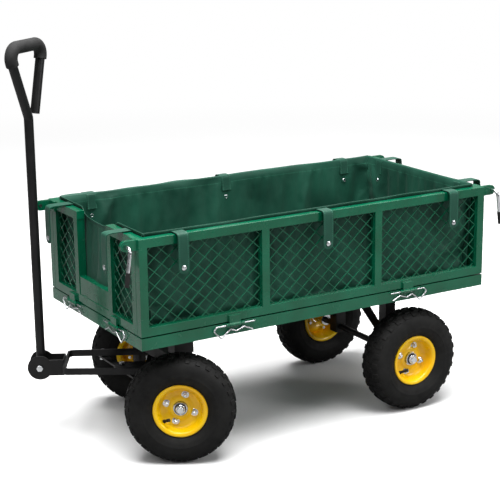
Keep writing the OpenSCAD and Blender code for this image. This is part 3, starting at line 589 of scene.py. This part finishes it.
def ripple(p, size_mm, seed):
    return noise.noise(Vector((p.x, p.y, p.z)) / (size_mm * MM) + Vector((seed, seed * 2.3, seed * 0.7)))


def rise(wall, along, run):
    """Outward and upward place of the cloth, run metres up from the floor's edge.

    It leans outwards up to the rail and its hem stands a little above it. In the
    front gate's cut-out it dips below the rail instead.
    """
    dip = 0
    if wall.side == "front":
        inside = smoothstep(CUT_OUT + 14 * MM, CUT_OUT, abs(along))
        dip = (CUT_OUT_DIP + HEM_ABOVE) * inside * (1 - 0.3 * min(1, abs(along) / CUT_OUT) ** 2)
    share = min(1, run / wall.run)
    above = max(0, run - RAIL_TOP)
    wave = ripple(wall.point(along, 0, run), 95, len(wall.side))
    out = -LEAN_IN * (1 - share) ** 1.6 + above * (0.35 + 0.8 * wave) - 1 * MM
    return out, run - dip * share ** 5 + 3 * MM * wave * share ** 12


def crease(wall, s, share):
    """How far the wall's creases stand inwards at one place on it."""
    most = 0
    for (s0, t0), (s1, t1), depth, width in CREASES[wall.side]:
        half = wall.length / 2
        line = Vector(((s1 - s0) * half, (t1 - t0) * RAIL_TOP))
        offset = Vector(((s - s0) * half, (share - t0) * RAIL_TOP))
        at = min(1, max(0, offset.dot(line) / line.dot(line)))
        gap = (offset - line * at).length / (width * MM)
        most = max(most, depth * MM * math.exp(-gap) * (0.35 + 2.6 * at * (1 - at)))
    return most


def liner_wall(side):
    wall = Wall(side)
    wall.run = RAIL_TOP + HEM_ABOVE
    mesh = sheet_grid(side, wall.length, wall.run, CELL_MM * MM)
    for vert in mesh.verts:
        along, run = vert.co.x, vert.co.y + wall.run / 2
        s = along / (wall.length / 2)
        out, up = rise(wall, along, run)
        tuck = 9 if side in ("left", "right") else 2
        out -= tuck * MM * abs(s) ** 14 * smoothstep(RAIL_TOP, RAIL_TOP - 2 * HEM_MM * MM, run)
        at = wall.point(along, out, up)
        share = run / RAIL_TOP
        free = min(1, share * 4) * smoothstep(0.97, 0.8, share) * (1 - abs(s) ** 8)
        seed = 3 + len(side)
        at += wall.outward * free * MM * (7 * ripple(at, 130, seed) + 3 * ripple(at, 50, seed + 5))
        at -= wall.outward * crease(wall, s, share) * smoothstep(1.0, 0.9, share) * min(1, share * 4)
        vert.co = at
    made = place(mesh, side + "_liner", CLOTH)
    return wall, made


def pinned(wall, obj):
    """Pins the hem, the bottom edge and both ends, and loosens the middle."""
    group = obj.vertex_groups.new(name="held")
    for vert in obj.data.vertices:
        s = vert.co.dot(wall.along) / (wall.length / 2)
        share = vert.co.z / RAIL_TOP
        top = 0.84 if wall.side == "front" and abs(vert.co.dot(wall.along)) < CUT_OUT else 0.9
        edge = max(smoothstep(top, top + 0.05, share), smoothstep(0.06, 0.01, share),
                   smoothstep(0.965, 0.999, abs(s)))
        group.add([vert.index], edge, "REPLACE")


def settle(pairs, frames):
    """Lets slack cloth buckle and hang between its held edges, then keeps the result."""
    scene = bpy.context.scene
    for wall, obj in pairs:
        pinned(wall, obj)
        cloth = obj.modifiers.new("hang", "CLOTH")
        kept = cloth.settings
        kept.quality = 6
        kept.mass = 0.25
        kept.tension_stiffness = 25
        kept.compression_stiffness = 25
        kept.shear_stiffness = 8
        kept.bending_stiffness = 0.9
        kept.air_damping = 2
        kept.shrink_min = -SLACK
        kept.vertex_group_mass = "held"
        kept.pin_stiffness = 1
        cloth.collision_settings.use_collision = False
        cloth.point_cache.frame_end = frames
    for number in range(1, frames + 1):
        scene.frame_set(number)
    view = bpy.context.evaluated_depsgraph_get()
    for wall, obj in pairs:
        done = obj.evaluated_get(view).to_mesh()
        places = [v.co.copy() for v in done.vertices]
        obj.evaluated_get(view).to_mesh_clear()
        obj.modifiers.clear()
        for vert, place_now in zip(obj.data.vertices, places):
            vert.co = kept_inside(wall, place_now)
        obj.vertex_groups.clear()
    scene.frame_set(1)


def kept_inside(wall, co):
    """Stops the cloth at the frame's inner face and short of the mesh in its bays."""
    if co.z > RAIL_TOP * 0.88:
        return co
    out = co.dot(wall.outward) - wall.plane
    up = smoothstep(0.12, 0.2, co.z / RAIL_TOP) * smoothstep(0.88, 0.8, co.z / RAIL_TOP)
    along = abs(co.dot(wall.along))
    posts = {"left": (0.158, 0.47), "right": (0.158, 0.47),
             "front": (0.09, 0.214), "rear": (0, 0.214)}[wall.side]
    clear = min(smoothstep(0.012, 0.03, abs(along - post)) for post in posts)
    most = 1.6 * MM + 7 * MM * up * clear
    least = -30 * MM
    return co + wall.outward * (max(least, min(out, most)) - out)


def cloth_finish(obj):
    subdivide = obj.modifiers.new("fine_cloth", "SUBSURF")
    subdivide.levels = 1
    subdivide.render_levels = 1
    thick = obj.modifiers.new("cloth_thickness", "SOLIDIFY")
    thick.thickness = CLOTH_MM * MM
    thick.offset = 0
    for face in obj.data.polygons:
        face.use_smooth = True


walls = [liner_wall(side) for side in WALLS]
settle(walls, 28)
for wall, obj in walls:
    cloth_finish(obj)
    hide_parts(wall.node)
    wall.point(0, 0, 4 * MM)
    wall.point(0, 0, 34 * MM)
    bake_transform(obj)


def liner_floor():
    lo, hi = low("liner_floor"), high("liner_floor")
    wide, deep = hi.x - lo.x, hi.y - lo.y
    mesh = sheet_grid("floor", wide, deep, 12 * MM)
    for vert in mesh.verts:
        edge = min(1, (wide / 2 - abs(vert.co.x)) / 0.03) * min(1, (deep / 2 - abs(vert.co.y)) / 0.03)
        swell = ripple(vert.co, 110, 9) + 0.4 * ripple(vert.co, 45, 4)
        vert.co.z = -1.2 * MM + edge * 3.2 * MM * max(0, swell)
    made = place(mesh, "floor_liner", CLOTH, "tray", ["liner_floor"])
    cloth_finish(made)


liner_floor()


# ---- straps, studs and eyelets ----

STRAP_MM = 1.8


def strap(wall, along, width, drop, name):
    """A tab of the liner, over the top rail and down its outer face, with a round end."""
    gap = wall.rail - wall.plane
    lift = 3.2 * MM
    bend = 3.2 * MM
    face = gap + 1.3 * MM
    inner = [(-3.5 * MM, RAIL_TOP - 34 * MM), (-2 * MM, RAIL_TOP - 16 * MM), (-1.4 * MM, RAIL_TOP - 2 * MM)]
    over = [(0, RAIL_TOP + lift), (gap / 2, RAIL_TOP + lift), (gap - bend, RAIL_TOP + lift)]
    outer = [(face, RAIL_TOP - bend), (face, RAIL_TOP - drop * 0.5), (face, RAIL_TOP - drop)]
    path = curved(inner + over + outer, 3)
    runs = [0]
    for (a, b), (c, d) in zip(path, path[1:]):
        runs.append(runs[-1] + math.hypot(c - a, d - b))
    length = runs[-1]
    steps = 8
    mesh = bmesh.new()
    bmesh.ops.create_grid(mesh, x_segments=steps, y_segments=len(path) - 1, size=1)
    uv = mesh.loops.layers.uv.new("flat_cloth")
    for vert in mesh.verts:
        row = round((vert.co.y + 1) / 2 * (len(path) - 1))
        left = length - runs[row]
        half = width / 2
        if left < half:
            half = math.sqrt(max(0, half ** 2 - (half - left) ** 2)) + 0.15 * MM
        for loop in vert.link_loops:
            loop[uv].uv = ((vert.co.x + 1) / 2 * width, runs[row])
        vert.co = wall.point(along + half * vert.co.x, *path[row])
    bmesh.ops.recalc_face_normals(mesh, faces=mesh.faces)
    made = place(mesh, name, WEBBING, wall.body)
    thick = made.modifiers.new("strap_thickness", "SOLIDIFY")
    thick.thickness = STRAP_MM * MM
    thick.offset = 0
    round_edges(made, 0.5, 1, 50)
    for face in made.data.polygons:
        face.use_smooth = True
    return made


def button(profile, at, axis, steps=32):
    """A turned metal piece set on a place, with its axis along a direction."""
    mesh = spun(mm_points(profile), steps)
    smooth(mesh)
    turned = UP.cross(axis) if abs(axis.z) < 0.9 else Vector((1, 0, 0))
    matrix = Matrix((turned.normalized(), axis, turned.cross(axis))).transposed().to_4x4()
    mesh.transform(Matrix.Translation(at) @ matrix)
    return mesh


STUD = [(0.01, 2.3), (2.4, 2.2), (4, 1.8), (4.6, 1.2), (5.6, 1.0), (6, 0.6), (6, -0.6)]
EYELET = [(2.2, -0.6), (2.3, 0.7), (3.4, 1.2), (4.8, 0.9), (5.4, 0.1), (5.4, -0.6)]


def fastenings(side, nodes):
    wall, cloth = next(pair for pair in walls if pair[0].side == side)
    straps_node, studs_node = nodes
    pieces = frame["nodes"][studs_node]
    centres = islands(pieces)
    drop = RAIL_TOP - low(straps_node).z
    width = STRAP_WIDE_MM * MM
    studs = []
    eyelets = []
    for number, centre in enumerate(centres):
        along = centre.dot(wall.along)
        made = strap(wall, along, width, drop, f"{side}_strap_{number + 1}")
        if number == 0:
            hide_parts(straps_node)
        face = wall.rail - wall.plane + 2.2 * MM
        studs.append(button(STUD, wall.point(along, face, RAIL_TOP - drop + width / 2), wall.outward))
        spot = wall.point(along, 0, RAIL_TOP - 52 * MM)
        nearest = min(cloth.data.vertices, key=lambda v: (v.co - spot).length)
        sunk = (nearest.co - spot).dot(wall.outward) - 1.6 * MM
        eyelets.append(button(EYELET, spot + wall.outward * sunk, -wall.outward))
    place(joined(studs), side + "_press_studs", ZINC, wall.body, [studs_node])
    place(joined(eyelets), side + "_eyelets", ZINC, wall.body)


def islands(obj):
    """Middles of the separate solids in a node, in order along it."""
    mesh = bmesh.new()
    mesh.from_mesh(obj.data)
    mesh.transform(obj.matrix_world)
    bmesh.ops.remove_doubles(mesh, verts=mesh.verts, dist=0.01 * MM)
    left = set(mesh.verts)
    found = []
    while left:
        group = {left.pop()}
        edge = list(group)
        while edge:
            near = {e.other_vert(v) for v in edge for e in v.link_edges} - group
            group |= near
            edge = list(near)
        left -= group
        middle = sum((v.co for v in group), Vector()) / len(group)
        if not any((middle - other).length < 20 * MM for other in found):
            found.append(middle)
    mesh.free()
    return sorted(found, key=lambda p: (round(p.x, 3), round(p.y, 3)))


for side in WALLS:
    fastenings(side, (side + "_straps", side + "_studs"))


# ---- floor, lights and camera ----

def studio():
    ground = low("rear_left_tyre").z
    mesh = bmesh.new()
    bmesh.ops.create_circle(mesh, cap_ends=True, segments=96, radius=60)
    mesh.transform(Matrix.Translation((0, 0, ground - 0.2 * MM)))
    paper, tree, shader = start("studio_floor_paper", Roughness=0.9, IOR=1.3)
    tree.links.new(between(tree, spots(tree, 900), "#f4f4f4", "#f9f9f9"), shader.inputs["Base Color"])
    where = add(tree, "ShaderNodeTexCoord").outputs["Object"]
    far = add(tree, "ShaderNodeVectorMath", links={0: where}, operation="LENGTH").outputs["Value"]
    fade = add(tree, "ShaderNodeMapRange", {"From Min": 1.2, "From Max": 5.0}, {"Value": far},
               interpolation_type="SMOOTHSTEP").outputs["Result"]
    glow = add(tree, "ShaderNodeEmission", {"Color": colour("#ffffff"), "Strength": 1.0})
    mixed = add(tree, "ShaderNodeMixShader", links={0: fade, 1: shader.outputs[0], 2: glow.outputs[0]})
    # The object sees a greyer sheet than the one behind it, so its gloss stays deep.
    grey = add(tree, "ShaderNodeBsdfDiffuse", {"Color": colour("#8c8c8c")})
    seen = add(tree, "ShaderNodeLightPath").outputs["Is Camera Ray"]
    shown = add(tree, "ShaderNodeMixShader", links={0: seen, 1: grey.outputs[0], 2: mixed.outputs[0]})
    tree.links.new(shown.outputs[0], tree.nodes["Material Output"].inputs["Surface"])
    made = place(mesh, "studio_floor", paper)
    world = bpy.data.worlds.new("studio_light")
    world.use_nodes = True
    sky = world.node_tree
    background = sky.nodes["Background"]
    background.inputs["Color"].default_value = colour("#ffffff")
    seen = add(sky, "ShaderNodeLightPath").outputs["Is Camera Ray"]
    strength = add(sky, "ShaderNodeMapRange", {"To Min": 0.2, "To Max": 1.0}, {"Value": seen})
    sky.links.new(strength.outputs["Result"], background.inputs["Strength"])
    bpy.context.scene.world = world
    for name, spot, size, power in (
        ("overhead_softbox", (0.2, 0.3, 3.4), 3.4, 400),
        ("key_light", (3.0, 1.6, 2.6), 1.2, 22),
        ("side_light", (-2.6, 3.4, 1.9), 1.4, 52),
        ("back_light", (-2.2, -3.0, 2.6), 2.0, 26),
    ):
        lamp = bpy.data.lights.new(name, "AREA")
        lamp.size = size
        lamp.energy = power
        holder = bpy.data.objects.new(name, lamp)
        aimed = (-Vector(spot)).to_track_quat("-Z", "Y").to_matrix().to_4x4()
        holder.matrix_world = Matrix.Translation(spot) @ aimed
        bpy.context.scene.collection.objects.link(holder)
    bpy.context.scene.view_settings.view_transform = "Standard"


AZIMUTH, ELEVATION, ROLL = (math.radians(a) for a in (149.3, 14.9, -0.69))
CAMERA_AT = Vector((1.803, 2.944, 1.010))
LENS_MM, SENSOR_MM = 103.3, 36


def camera():
    back = Vector((math.sin(AZIMUTH) * math.cos(ELEVATION), -math.cos(AZIMUTH) * math.cos(ELEVATION),
                   math.sin(ELEVATION)))
    right = Vector((math.cos(AZIMUTH), math.sin(AZIMUTH), 0))
    up = back.cross(right)
    leaned = right * math.cos(ROLL) + up * math.sin(ROLL)
    upright = back.cross(leaned)
    lens = bpy.data.cameras.new("camera")
    lens.lens = LENS_MM
    lens.sensor_width = SENSOR_MM
    made = bpy.data.objects.new("camera", lens)
    made.matrix_world = Matrix.Translation(CAMERA_AT) @ Matrix((leaned, upright, back)).transposed().to_4x4()
    bpy.context.scene.collection.objects.link(made)
    bpy.context.scene.camera = made


studio()
camera()
